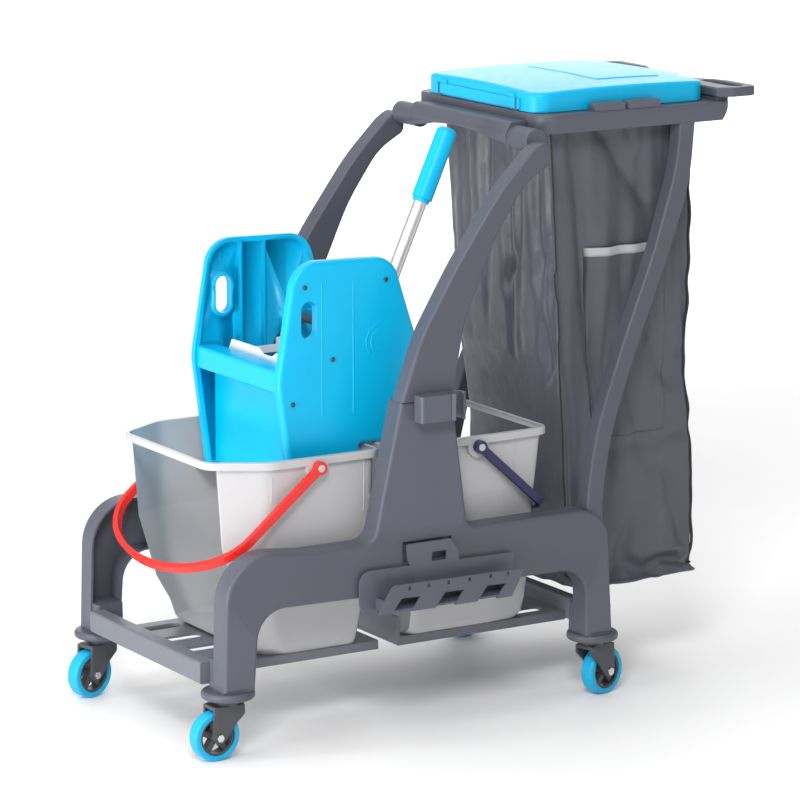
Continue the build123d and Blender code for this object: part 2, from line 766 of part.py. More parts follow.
def bucket(sections, pivot_s, heel, ledges):
    """Thin-walled bucket: outward-turned rim, a boss and a pin on each side for its handle. Heel: corner radius."""
    top = sections[-1]
    top_z, *shape = top
    inner_floor = (BUCKET_FLOOR_Z + BUCKET_WALL, *sections[0][1:])
    with BuildPart() as body:
        for low, high in zip(sections, sections[1:]):
            for z, *walls in (low, high):
                with BuildSketch(level(z)):
                    add(bucket_section(*walls, 0, heel))
            loft(ruled=True)
        with BuildSketch(level(top_z - 3)):
            add(bucket_section(*shape, RIM_LIP, heel + RIM_LIP))
        extrude(amount=RIM_Z - top_z + 3)
        fillet(body.faces().sort_by(Axis.Z)[-1].outer_wire().edges(), 3)
        with BuildSketch(level(top_z - 3)):
            add(bucket_section(*shape, RIM_LIP - BUCKET_WALL, heel + RIM_LIP - BUCKET_WALL))
            add(bucket_section(*shape, 0, heel), mode=Mode.SUBTRACT)
        extrude(amount=RIM_Z - top_z, mode=Mode.SUBTRACT)
        for low, high in zip([inner_floor, *sections[1:]], sections[1:]):
            for z, *walls in (low, high):
                with BuildSketch(level(z)):
                    add(bucket_section(*walls, -BUCKET_WALL, heel - BUCKET_WALL))
            loft(ruled=True, mode=Mode.SUBTRACT)
        with BuildSketch(level(top_z)):
            add(bucket_section(*shape, -BUCKET_WALL, heel - BUCKET_WALL))
        extrude(amount=RIM_Z - top_z + 1, mode=Mode.SUBTRACT)
        for sign in (-1, 1):
            with BuildSketch(side_plane(sign * 186)):
                with Locations((pivot_s, PIVOT_Z)):
                    Circle(19)
                with Locations((pivot_s, PIVOT_Z + 20)):
                    Rectangle(50, 32, mode=Mode.SUBTRACT)
                with Locations((pivot_s, PIVOT_Z)):
                    Circle(11)
            extrude(amount=-sign * 9)
            with BuildSketch(side_plane(sign * 186)):
                with Locations((pivot_s, PIVOT_Z)):
                    Circle(6)
            extrude(amount=-sign * 21)
            for s in ledges:
                with Locations(at(s, sign * 157, LEDGE_Z)):
                    Box(24, 57, 8, align=(Align.CENTER, Align.CENTER, Align.MAX))
    return body.part




def bail(pivot_s, direction, straight, reach, drop):
    """U-shaped carrying handle: an eye on each pin, straight arms and a bowed grip, channelled on the outside."""
    a = math.radians(drop)
    base = Plane(
        origin=at(pivot_s, 0, PIVOT_Z),
        x_dir=(direction * math.cos(a), 0, -math.sin(a)),
        z_dir=(-direction * math.sin(a), 0, -math.cos(a)),
    )
    deep, wide = BAIL_SECTION
    bow = reach - straight
    with BuildPart() as handle:
        for start, skin, thick, mode in ((0, 0, wide, Mode.ADD), (20, wide / 4, wide / 2, Mode.SUBTRACT)):
            outer = BAIL_HALF + wide / 2 - skin
            with BuildSketch(base.offset(skin - deep / 2)):
                with Locations(((start + straight) / 2, 0)):
                    Rectangle(straight - start, 2 * outer)
                with Locations((straight, 0)):
                    Ellipse(bow - skin, outer)
                    Ellipse(bow - skin - thick, outer - thick, mode=Mode.SUBTRACT)
                with Locations((straight / 2, 0)):
                    Rectangle(straight, 2 * (outer - thick), mode=Mode.SUBTRACT)
            extrude(amount=deep, mode=mode)
        for sign in (-1, 1):
            with BuildSketch(side_plane(sign * (BAIL_HALF - wide / 2))):
                with Locations((pivot_s, PIVOT_Z)):
                    Circle(11)
            extrude(amount=-sign * wide)
            with BuildSketch(side_plane(sign * (BAIL_HALF - wide / 2 - 1))):
                with Locations((pivot_s, PIVOT_Z)):
                    Circle(6 + RUN)
            extrude(amount=-sign * (wide + 2), mode=Mode.SUBTRACT)
    return handle.part


# ---- wringer ----
PLATE_CORNERS = [
    (-186, LEDGE_Z, 3),
    (-211, 575, 90),
    (-178, 768, 48),
    (3, 763, 44),
    (46, 632, 26),
    (-3, 462, 8),
    (-60, 462, 3),
    (-60, LEDGE_Z, 3),
]
HAND_HOLE = (-154, 673)
PLATE_IN = PLATE_OUT - PLATE_T


def wringer_plate():
    """Left cheek of the wringer: hollow-backed, with a hand hole, ribs and a boss for the lever's shaft."""
    profile = outline(PLATE_CORNERS)
    with BuildPart() as plate:
        with BuildSketch(side_plane(-PLATE_IN)):
            add(profile)
        extrude(amount=PLATE_T)
        fillet(plate.faces().sort_by(Axis.Y)[0].edges(), 7)
        with BuildSketch(side_plane(-PLATE_IN)):
            add(profile)
            offset(amount=-9, mode=Mode.REPLACE)
            with Locations(HAND_HOLE):
                SlotOverall(74, 41, rotation=90, mode=Mode.SUBTRACT)
            with Locations((SHAFT_S, SHAFT_Z)):
                Circle(24, mode=Mode.SUBTRACT)
            for s in (-120, -76):
                with Locations((s, 570)):
                    Rectangle(4, 420, mode=Mode.SUBTRACT)
            with Locations((-180, 574)):
                Rectangle(48, 40, mode=Mode.SUBTRACT)
        extrude(amount=PLATE_T - 5, mode=Mode.SUBTRACT)
        with BuildSketch(side_plane(-PLATE_IN)):
            with Locations(HAND_HOLE):
                SlotOverall(62, 29, rotation=90)
        extrude(amount=PLATE_T, mode=Mode.SUBTRACT)
        with BuildSketch(side_plane(-PLATE_OUT)):
            with Locations((SHAFT_S, SHAFT_Z)):
                Circle(27)
            for s in (-95, -50):
                with Locations((s, 660)):
                    RectangleRounded(9, 90, 4)
                with Locations((s, 490)):
                    RectangleRounded(9, 40, 4)
        extrude(amount=1.5)
        with BuildSketch(side_plane(-PLATE_IN)):
            with Locations((SHAFT_S, SHAFT_Z)):
                Circle(SHAFT_R + RUN)
        extrude(amount=PLATE_T - 4, mode=Mode.SUBTRACT)
    return plate.part


SCREWS = [(-162, 727), (-12, 727), (-111, 606), (-185, 540)]


def wringer_screws():
    """Domed screw heads on both cheeks."""
    with BuildPart() as screws:
        for sign in (-1, 1):
            with BuildSketch(side_plane(sign * PLATE_OUT)):
                with Locations(*SCREWS):
                    Circle(4)
            extrude(amount=-sign * 2.5)
        fillet(screws.edges().filter_by(GeomType.CIRCLE).filter_by(lambda e: abs(e.center().Y) > PLATE_OUT + 1), 1.5)
    return screws.part


def wringer_front_bar():
    """Ledge across the front that ties the cheeks together."""
    profile = outline([(-205, 592, 5), (-205, 556, 5), (-168, 546, 2), (-168, 592, 2)])
    with BuildPart() as bar:
        with BuildSketch(side_plane(0)):
            add(profile)
        extrude(amount=PLATE_IN, both=True)
        with BuildSketch(side_plane(0)):
            add(profile)
            offset(amount=-WALL, mode=Mode.REPLACE)
            with Locations((-168, 569)):
                Rectangle(10, 30)
        extrude(amount=PLATE_IN - WALL, both=True, mode=Mode.SUBTRACT)
    return bar.part


BASKET_OUT = [(-172, 545), (-172, 420), (-150, 396), (-80, 396), (-66, 420), (-64, 470), (-30, 560)]
BASKET_IN = [(-34, 560), (-68, 472), (-70, 422), (-82, 400), (-148, 400), (-168, 422), (-168, 545)]
BASKET_HALF = 112.0


def wringer_basket():
    """Trough that the mop is pressed in: front panel, drained floor and a rear panel with drain slots."""
    with BuildPart() as trough:
        with BuildSketch(side_plane(0)):
            with BuildLine():
                Polyline(*BASKET_OUT, *BASKET_IN, close=True)
            make_face()
        extrude(amount=BASKET_HALF, both=True)
        with Locations(at(-170, 0, 470)):
            Box(4, 2 * PLATE_IN, 150)
        with BuildSketch(level(390)):
            with Locations((-115, 0)):
                with GridLocations(0, 24, 1, 8):
                    SlotOverall(54, 9)
        extrude(amount=20, mode=Mode.SUBTRACT)
        with BuildSketch(across(-90)):
            with Locations((0, 500)):
                with GridLocations(30, 44, 7, 2):
                    SlotOverall(34, 9, rotation=90)
        extrude(amount=80, mode=Mode.SUBTRACT)
        for sign in (-1, 1):
            with Locations(at(-115, sign * (BASKET_HALF + PLATE_IN) / 2, 396)):
                Box(60, PLATE_IN - BASKET_HALF, 4, align=BOTTOM)
    return trough.part


PRESS_FRONT = -163.0
PRESS_TRAVEL = 2 * CRANK_R * math.sin(math.radians(CRANK_LEAN))
BAR_Y = 121.0


def press_plate():
    """White plate at the front of the trough, pulled back by two side bars with upright slots for the cranks."""
    pin_s = SHAFT_S - CRANK_R * math.sin(math.radians(CRANK_LEAN))
    with BuildPart() as plate:
        with BuildSketch(across(PRESS_FRONT)):
            with BuildLine():
                Polyline(
                    (-124, 430),
                    (-124, 606),
                    (-56, 606),
                    (-42, 598),
                    (-12, 598),
                    (2, 606),
                    (90, 606),
                    (106, 578),
                    (124, 574),
                    (124, 430),
                    close=True,
                )
            make_face()
        extrude(amount=3)
        for y in range(-90, 91, 30):
            with Locations(at(PRESS_FRONT + 5, y, 430)):
                Box(5, 3, 160, align=BOTTOM)
        for sign in (-1, 1):
            with BuildSketch(side_plane(sign * (BAR_Y - 3))):
                with Locations(((PRESS_FRONT + pin_s + 9) / 2, 576)):
                    Rectangle(pin_s + 9 - PRESS_FRONT, 12)
                with Locations((pin_s, 577)):
                    RectangleRounded(18, 34, 5)
                with Locations((pin_s, 577)):
                    SlotOverall(26, 10.4, rotation=90, mode=Mode.SUBTRACT)
            extrude(amount=-sign * 6)
    return plate.part


def lever_point(r):
    """Point on the lever's centre line, r from the shaft."""
    a = math.radians(LEVER_LEAN)
    return at(SHAFT_S + r * math.sin(a), LEVER_Y, SHAFT_Z + r * math.cos(a))


def lever_plane(r):
    a = math.radians(LEVER_LEAN)
    return Plane(origin=lever_point(r), x_dir=(0, 1, 0), z_dir=(math.sin(a), 0, math.cos(a)))


def lever_shaft():
    """Shaft across the wringer, with the lever's socket and two cranks that carry pins."""
    a = math.radians(CRANK_LEAN)
    pin = (SHAFT_S - CRANK_R * math.sin(a), SHAFT_Z - CRANK_R * math.cos(a))
    middle = ((SHAFT_S + pin[0]) / 2, (SHAFT_Z + pin[1]) / 2)
    with BuildPart() as shaft:
        with BuildSketch(side_plane(PLATE_OUT - 5)):
            with Locations((SHAFT_S, SHAFT_Z)):
                Circle(SHAFT_R)
        extrude(amount=2 * PLATE_OUT - 10)
        with BuildSketch(side_plane(LEVER_Y + 15)):
            with Locations((SHAFT_S, SHAFT_Z)):
                Circle(18)
        extrude(amount=26)
        with BuildSketch(lever_plane(0)):
            Circle(15)
        extrude(amount=60)
        with BuildSketch(lever_plane(22)):
            Circle(TUBE_R)
        extrude(amount=40, mode=Mode.SUBTRACT)
        for sign in (-1, 1):
            with BuildSketch(side_plane(sign * 126)):
                with Locations(middle):
                    SlotOverall(CRANK_R + 20, 20, rotation=90 - CRANK_LEAN)
            extrude(amount=-sign * 4)
            with BuildSketch(side_plane(sign * 116)):
                with Locations(pin):
                    Circle(4)
            extrude(amount=-sign * 12)
    return shaft.part


def lever_tube():
    """Aluminium tube, open at its lower end."""
    with BuildPart() as tube:
        with BuildSketch(lever_plane(22)):
            Circle(TUBE_R)
        extrude(amount=LEVER_L - 30)
        with BuildSketch(lever_plane(22)):
            Circle(TUBE_R - 2)
        extrude(amount=LEVER_L - 34, mode=Mode.SUBTRACT)
    return tube.part


def lever_grip():
    """Soft round grip with a collar, pushed over the tube's end."""
    start = LEVER_L - GRIP_L
    with BuildPart() as grip:
        with BuildSketch(lever_plane(start)):
            Circle(GRIP_R)
        extrude(amount=GRIP_L)
        fillet(grip.edges().filter_by(GeomType.CIRCLE).sort_by(Axis.Z)[-1], 9)
        with BuildSketch(lever_plane(start - 6)):
            Circle(GRIP_R - 3)
        extrude(amount=7)
        with BuildSketch(lever_plane(start - 6)):
            Circle(TUBE_R)
        extrude(amount=LEVER_L - 8 - start + 6, mode=Mode.SUBTRACT)
    return grip.part


# ---- everything ----
os.makedirs(PARTS, exist_ok=True)

save_pair(side_frame(), "side_frame")
save_pair(upper_arm(), "upper_arm")
save_pair(rear_upright(), "rear_upright")
save_pair(tool_rack(), "tool_rack")
save_pair(mop_clip(), "mop_clip")
save_pair(wringer_plate(), "wringer_plate")

save(cross_beam(-366), "front_cross_beam")
save(cross_beam(354), "rear_cross_beam")
save(tray(-352, -26, 0), "front_tray")
save(tray(12, 340, 48), "rear_tray")
save(arch_crossbar(), "arch_crossbar")
save(bag_ring(), "bag_ring")
save(push_handle(), "push_handle")
save(bag_clips(), "bag_clips")

for corner, (s_sign, y_sign, heading) in CASTERS.items():
    floor_plane = caster_base(s_sign, y_sign, heading)
    save(bumper(s_sign, y_sign), f"{corner}_bumper")
    save(caster_fork(floor_plane), f"{corner}_fork")
    save(wheel_tread(floor_plane), f"{corner}_tread")
    save(wheel_hub(floor_plane), f"{corner}_hub")
    save(axle_bolt(floor_plane), f"{corner}_axle")

save(lid(), "lid")
save(lid_hinge_pin(), "lid_hinge_pin")
save(bag(), "bag")
save(bag_zip(), "bag_zip")
save(bag_pocket(), "bag_pocket")

save(bucket(FRONT_BUCKET, FRONT_PIVOT_S, 16, (-174, -76)), "front_bucket")
save(bail(FRONT_PIVOT_S, -1, *FRONT_BAIL), "front_bucket_handle")
save(bucket(REAR_BUCKET, REAR_PIVOT_S, 30, ()), "rear_bucket")
save(bail(REAR_PIVOT_S, 1, *REAR_BAIL), "rear_bucket_handle")

save(wringer_screws(), "wringer_screws")
save(wringer_front_bar(), "wringer_front_bar")
save(wringer_basket(), "wringer_basket")
save(press_plate(), "press_plate")
save(lever_shaft(), "lever_shaft")
save(lever_tube(), "lever_tube")
save(lever_grip(), "lever_grip")
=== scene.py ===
"""Housekeeping cart: materials, cloth bag, small trim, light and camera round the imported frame. Metres."""

import json
import math
import random

import bmesh
import bpy
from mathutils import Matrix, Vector
from mathutils.bvhtree import BVHTree
from mathutils.noise import noise


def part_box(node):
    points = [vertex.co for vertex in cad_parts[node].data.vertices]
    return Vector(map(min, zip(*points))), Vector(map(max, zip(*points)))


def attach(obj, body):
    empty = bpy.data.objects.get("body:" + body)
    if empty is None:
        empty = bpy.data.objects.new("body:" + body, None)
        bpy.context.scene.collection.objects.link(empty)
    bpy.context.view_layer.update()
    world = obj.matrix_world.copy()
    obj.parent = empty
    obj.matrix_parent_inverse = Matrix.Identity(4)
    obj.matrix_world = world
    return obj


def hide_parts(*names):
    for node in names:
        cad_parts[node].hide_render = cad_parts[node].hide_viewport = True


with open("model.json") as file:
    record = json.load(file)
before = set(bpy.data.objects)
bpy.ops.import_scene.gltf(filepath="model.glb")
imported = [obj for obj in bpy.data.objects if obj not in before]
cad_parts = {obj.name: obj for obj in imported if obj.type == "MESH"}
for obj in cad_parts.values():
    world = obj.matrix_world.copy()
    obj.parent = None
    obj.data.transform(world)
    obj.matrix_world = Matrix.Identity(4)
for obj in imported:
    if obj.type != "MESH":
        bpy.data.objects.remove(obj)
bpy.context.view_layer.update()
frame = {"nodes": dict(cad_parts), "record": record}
NODES = frame["nodes"]


# ---- materials ----
def shader(name):
    """A new material with its tree, its principled shader and a texture coordinate in metres."""
    mat = bpy.data.materials.new(name)
    mat.use_nodes = True
    tree = mat.node_tree
    where = tree.nodes.new("ShaderNodeTexCoord").outputs["Object"]
    return mat, tree, tree.nodes["Principled BSDF"], where


def grain_of(tree, where, scale, detail=4.0, rough=0.55):
    n = tree.nodes.new("ShaderNodeTexNoise")
    n.inputs["Scale"].default_value = scale
    n.inputs["Detail"].default_value = detail
    n.inputs["Roughness"].default_value = rough
    tree.links.new(where, n.inputs["Vector"])
    return n.outputs["Fac"]


def remap(tree, value, low, high, to_low, to_high):
    n = tree.nodes.new("ShaderNodeMapRange")
    for name, v in (("From Min", low), ("From Max", high), ("To Min", to_low), ("To Max", to_high)):
        n.inputs[name].default_value = v
    tree.links.new(value, n.inputs["Value"])
    return n.outputs["Result"]


def mixed(tree, factor, a, b):
    """Colour between a and b, each a colour or a socket."""
    n = tree.nodes.new("ShaderNodeMix")
    n.data_type = "RGBA"
    tree.links.new(factor, n.inputs["Factor"])
    for name, v in (("A", a), ("B", b)):
        socket = next(s for s in n.inputs if s.name == name and s.type == "RGBA")
        if isinstance(v, tuple):
            socket.default_value = (*v, 1.0)
        else:
            tree.links.new(v, socket)
    return next(s for s in n.outputs if s.type == "RGBA")


def shade(colour, factor):
    return tuple(min(1.0, c * factor) for c in colour)


def bumped(tree, bsdf, layers, rounding=0.0):
    """Stacks bumps, each (height socket, strength, distance), over softly rounded edges."""
    normal = None
    if rounding:
        bevel = tree.nodes.new("ShaderNodeBevel")
        bevel.samples = 4
        bevel.inputs["Radius"].default_value = rounding
        normal = bevel.outputs["Normal"]
    for height, strength, distance in layers:
        n = tree.nodes.new("ShaderNodeBump")
        n.inputs["Strength"].default_value = strength
        n.inputs["Distance"].default_value = distance
        tree.links.new(height, n.inputs["Height"])
        if normal:
            tree.links.new(normal, n.inputs["Normal"])
        normal = n.outputs["Normal"]
    tree.links.new(normal, bsdf.inputs["Normal"])


def edge_highlight_mask(tree):
    """0 on flats and up to 1 on sharp outer edges, where the painted edge highlight goes."""
    geometry = tree.nodes.new("ShaderNodeNewGeometry")
    return remap(tree, geometry.outputs["Pointiness"], 0.52, 0.6, 0.0, 1.0)


def plastic(name, colour, rough, grain=0.12, edge_highlight=0.25, shine=0.5):
    """Moulded plastic: fine grain, faint mottling and sharp outer edges painted paler as a highlight."""
    mat, tree, bsdf, where = shader(name)
    mottle = grain_of(tree, where, 22.0)
    tone = mixed(tree, mottle, shade(colour, 0.96), shade(colour, 1.04))
    # Painted highlight: sharp outer edges are lightened towards 1.6 times the colour.
    edge_highlighted = mixed(tree, remap(tree, edge_highlight_mask(tree), 0.0, 1.0, 0.0, edge_highlight), tone, shade(colour, 1.6))
    tree.links.new(edge_highlighted, bsdf.inputs["Base Color"])
    scuffs = remap(tree, grain_of(tree, where, 60.0), 0.3, 0.7, rough - 0.03, rough + 0.04)
    tree.links.new(scuffs, bsdf.inputs["Roughness"])
    bsdf.inputs["Specular IOR Level"].default_value = shine
    fine = grain_of(tree, where, 1400.0, 2.0)
    flow = grain_of(tree, where, 9.0, 2.0)
    bumped(tree, bsdf, ((fine, grain, 0.0003), (flow, 0.02, 0.002)), 0.0012)
    return mat


def metal(name, colour, rough, brushed=(1.0, 1.0, 1.0)):
    mat, tree, bsdf, where = shader(name)
    bsdf.inputs["Metallic"].default_value = 1.0
    stretch = tree.nodes.new("ShaderNodeMapping")
    stretch.inputs["Scale"].default_value = brushed
    tree.links.new(where, stretch.inputs["Vector"])
    streak = grain_of(tree, stretch.outputs["Vector"], 400.0, 3.0)
    tree.links.new(mixed(tree, streak, shade(colour, 0.85), colour), bsdf.inputs["Base Color"])
    tree.links.new(remap(tree, streak, 0.3, 0.7, rough - 0.06, rough + 0.1), bsdf.inputs["Roughness"])
    bumped(tree, bsdf, ((streak, 0.06, 0.0002),), 0.0006)
    return mat


def rubber(name, colour, rough):
    mat, tree, bsdf, where = shader(name)
    dust = grain_of(tree, where, 120.0)
    tree.links.new(mixed(tree, dust, shade(colour, 0.85), shade(colour, 1.1)), bsdf.inputs["Base Color"])
    tree.links.new(remap(tree, dust, 0.3, 0.7, rough, rough + 0.12), bsdf.inputs["Roughness"])
    bumped(tree, bsdf, ((grain_of(tree, where, 2200.0, 2.0), 0.15, 0.0003),), 0.001)
    return mat


def coated_cloth(name, colour, rough=0.5, weave=1500.0):
    """Coated woven fabric: a fine weave, soft creases and a slight sheen."""
    mat, tree, bsdf, where = shader(name)
    patch = grain_of(tree, where, 14.0)
    tree.links.new(mixed(tree, patch, shade(colour, 0.9), shade(colour, 1.1)), bsdf.inputs["Base Color"])
    rubbed = remap(tree, grain_of(tree, where, 45.0), 0.3, 0.7, rough - 0.06, rough + 0.08)
    tree.links.new(rubbed, bsdf.inputs["Roughness"])
    bsdf.inputs["Sheen Weight"].default_value = 0.08
    layers = []
    for direction in ("X", "Z"):
        wave = tree.nodes.new("ShaderNodeTexWave")
        wave.bands_direction = direction
        wave.inputs["Scale"].default_value = weave
        tree.links.new(where, wave.inputs["Vector"])
        layers.append((wave.outputs["Fac"], 0.1, 0.0002))
    layers.append((grain_of(tree, where, 16.0, 5.0, 0.6), 0.45, 0.005))
    bumped(tree, bsdf, layers)
    return mat


MATERIALS = {
    "frame_grey": plastic("frame_grey", (0.082, 0.087, 0.112), 0.44, grain=0.2, shine=0.4),
    "beam_grey": plastic("beam_grey", (0.125, 0.132, 0.153), 0.44),
    "bucket_grey": plastic("bucket_grey", (0.46, 0.455, 0.465), 0.36, edge_highlight=0.1),
    "sky_blue": plastic("sky_blue", (0.0, 0.43, 0.74), 0.34, grain=0.06, edge_highlight=0.05, shine=0.3),
    "red": plastic("red", (0.62, 0.018, 0.012), 0.26, grain=0.06),
    "navy": plastic("navy", (0.012, 0.012, 0.075), 0.3, grain=0.06),
    "tyre_blue": rubber("tyre_blue", (0.0, 0.38, 0.66), 0.42),
    "dark_grey": plastic("dark_grey", (0.05, 0.053, 0.06), 0.42),
    "steel": metal("steel", (0.72, 0.72, 0.73), 0.24),
    "aluminium": metal("aluminium", (0.95, 0.95, 0.96), 0.38, (1.0, 1.0, 0.03)),
    "bag_fabric": coated_cloth("bag_fabric", (0.072, 0.075, 0.096), 0.36),
    "white": plastic("white", (0.76, 0.77, 0.79), 0.32, edge_highlight=0.05),
}
BLACK_TAPE = coated_cloth("black_tape", (0.012, 0.012, 0.014), 0.6, 2600.0)
PALE_TRIM = coated_cloth("pale_trim", (0.4, 0.41, 0.43), 0.6, 2600.0)


def smooth(mesh, angle=35.0):
    """Smooth shading, creased where faces meet at more than angle."""
    mesh.shade_smooth()
    mesh.set_sharp_from_angle(angle=math.radians(angle))


def paint_nodes():
    slots = {s["node"]: s["material_slot"] for s in frame["record"]["subparts"]}
    for name, obj in NODES.items():
        obj.data.materials.clear()
        obj.data.materials.append(MATERIALS[slots[name]])
    NODES["wringer_screws"].data.materials[0] = metal("dark_screw", (0.12, 0.13, 0.15), 0.35)


paint_nodes()


def add_object(name, points, faces, material, body):
    mesh = bpy.data.meshes.new(name)
    mesh.from_pydata(points, [], faces)
    mesh.update()
    obj = bpy.data.objects.new(name, mesh)
    bpy.context.scene.collection.objects.link(obj)
    mesh.materials.append(material)
    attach(obj, body)
    return obj


# ---- the bag ----
BAG_FRONT = (  # height share, and how far in from the CAD box's front
    (0.0, 0.060),
    (0.18, 0.049),
    (0.29, 0.046),
    (0.35, 0.046),
    (0.42, 0.039),
    (0.52, 0.028),
    (0.72, 0.016),
    (1.0, 0.0),
)
BAG_REAR = (  # height share, and how far in from the CAD box's rear
    (0.0, -0.003),
    (0.1, 0.004),
    (0.2, 0.011),
    (0.35, 0.021),
    (0.46, 0.026),
    (0.67, 0.025),
    (1.0, 0.032),
)
# From and to, each as place round the bag from its near front corner and height share; then width and depth.
BAG_CREASES = (
    (0.010, 1.00, 0.016, 0.05, 0.005, 0.007),
    (0.048, 0.98, 0.078, 0.30, 0.012, 0.009),
    (0.097, 0.98, 0.190, 0.80, 0.018, 0.008),
    (0.150, 0.98, 0.178, 0.88, 0.010, 0.004),
    (0.085, 0.70, 0.070, 0.15, 0.014, 0.006),
    (0.060, 0.20, 0.020, 0.02, 0.012, 0.006),
    (0.120, 0.52, 0.155, 0.28, 0.012, 0.005),
    (0.095, 0.31, 0.240, 0.335, 0.006, 0.003),
    (0.200, 0.28, 0.240, 0.08, 0.013, 0.005),
    (0.150, 0.22, 0.110, 0.04, 0.013, 0.005),
    (0.236, 0.78, 0.240, 0.34, 0.005, 0.003),
    (0.160, 0.62, 0.205, 0.44, 0.013, 0.006),
    (0.255, 0.95, 0.262, 0.40, 0.010, 0.005),
    (-0.016, 0.95, -0.030, 0.12, 0.010, 0.008),
    (-0.058, 1.00, -0.045, 0.45, 0.013, 0.010),
    (-0.045, 0.56, -0.100, 0.15, 0.015, 0.009),
    (-0.100, 1.00, -0.120, 0.40, 0.013, 0.009),
    (-0.150, 0.92, -0.135, 0.18, 0.017, 0.011),
    (-0.200, 1.00, -0.225, 0.30, 0.015, 0.010),
    (-0.270, 0.96, -0.260, 0.10, 0.013, 0.009),
    (-0.305, 0.90, -0.310, 0.20, 0.009, 0.006),
    (-0.020, 0.76, -0.085, 0.62, 0.010, 0.006),
    (-0.030, 0.50, -0.095, 0.41, 0.010, 0.006),
    (-0.120, 0.70, -0.190, 0.60, 0.012, 0.006),
)
FAR_CREASES = 26
CREASE_GAIN = 2.2
BAG_CORNER_R = 0.009
BAG_WRINKLE = 0.0012  # unevenness of the cloth before it hangs
BAG_RUMPLE = 0.0022  # fine unevenness after it hangs
BAG_REACH = 0.005  # how far the cloth may hang outside its outline
BAG_REACH_BY_HANDLE = 0.001  # and where the rear bucket's handle swings past
BAG_CLOTH = 0.0012
BAG_ROWS = 72
BAG_COLUMNS = 132
BAG_FLOOR_RINGS = 6
SIM_FRAMES = 24
# The pocket's corners, from the bag's foremost edge and foot.
POCKET = ((0.082, 0.576), (0.234, 0.580), (0.240, 0.258), (0.106, 0.246))
POCKET_TRIM = 0.015


def step_between(table, h):
    """Piecewise straight curve through (height share, value) pairs."""
    for (h0, v0), (h1, v1) in zip(table, table[1:]):
        if h <= h1:
            return v0 + (v1 - v0) * (h - h0) / (h1 - h0)
    return table[-1][1]


def bag_outline(h):
    """(point, outward direction, signed place from the near front corner) round the bag at height share h."""
    low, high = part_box("bag")
    x0 = low.x + step_between(BAG_FRONT, h)
    x1 = high.x - step_between(BAG_REAR, h)
    y0, y1 = low.y, high.y
    z = low.z + (high.z - low.z) * h
    wide, deep = x1 - x0, y1 - y0
    whole = 2 * (wide + deep)
    points = []
    for i in range(BAG_COLUMNS):
        t = whole * i / BAG_COLUMNS
        if t < wide:
            p, n, place = Vector((x0 + t, y0, z)), Vector((0, -1, 0)), t
        elif t < wide + deep:
            p, n, place = Vector((x1, y0 + t - wide, z)), Vector((1, 0, 0)), t
        elif t < 2 * wide + deep:
            p, n, place = Vector((x1 - (t - wide - deep), y1, z)), Vector((0, 1, 0)), t
        else:
            p, n, place = Vector((x0, y1 - (t - 2 * wide - deep), z)), Vector((-1, 0, 0)), t - whole
        cx = min(max(p.x, x0 + BAG_CORNER_R), x1 - BAG_CORNER_R)
        cy = min(max(p.y, y0 + BAG_CORNER_R), y1 - BAG_CORNER_R)
        off = Vector((p.x - cx, p.y - cy, 0))
        if off.length > BAG_CORNER_R:
            n = off.normalized()
            p = Vector((cx, cy, z)) + n * BAG_CORNER_R
        points.append((p, n, place))
    return points


def far_creases():
    """More creases of the same kind for the rear and the far side."""
    dice = random.Random(7)
    made = []
    for _ in range(FAR_CREASES):
        place, h = dice.uniform(0.29, 0.86), dice.uniform(0.35, 1.0)
        fall = dice.uniform(0.15, 0.6)
        end = max(0.03, h - fall)
        drift = dice.uniform(-0.05, 0.05)
        width = dice.uniform(0.008, 0.017)
        made.append((place, h, place + drift, end, width, dice.uniform(0.004, 0.009)))
    return made


CREASES = (*BAG_CREASES, *far_creases())


def crease_depth(place, h):
    """How far the creases draw the cloth in at this place and height share."""
    total = 0.0
    for p0, h0, p1, h1, width, depth in CREASES:
        along = (h - h0) / (h1 - h0)
        if abs(h1 - h0) < 0.1:
            along = (place - p0) / (p1 - p0)
            off = 0.8 * (h - (h0 + (h1 - h0) * along))
        else:
            off = place - (p0 + (p1 - p0) * along)
        if -0.12 < along < 1.12:
            fade = min(1.0, (along + 0.12) / 0.24, (1.12 - along) / 0.24)
            total += CREASE_GAIN * depth * fade * math.exp(-abs(off / width) ** 1.15)
    return total * min(1.0, (1.0 - h) / 0.05 + 0.4) * min(1.0, h / 0.06)


def settle(obj, frames):
    """Lets slack cloth hang from its pinned rows, and returns the settled positions."""
    scene = bpy.context.scene
    cloth = obj.modifiers.new("cloth", "CLOTH")
    cloth.settings.quality = 6
    cloth.settings.mass = 0.2
    cloth.settings.tension_stiffness = 20
    cloth.settings.compression_stiffness = 12
    cloth.settings.shear_stiffness = 6
    cloth.settings.bending_stiffness = 0.1
    cloth.settings.air_damping = 2.0
    cloth.settings.vertex_group_mass = "pinned"
    cloth.settings.shrink_min = -0.035
    cloth.collision_settings.use_collision = False
    cloth.point_cache.frame_start = 1
    cloth.point_cache.frame_end = frames
    for i in range(1, frames + 1):
        scene.frame_set(i)
    evaluated = obj.evaluated_get(bpy.context.evaluated_depsgraph_get())
    settled = [v.co.copy() for v in evaluated.data.vertices]
    obj.modifiers.remove(cloth)
    scene.frame_set(1)
    return settled


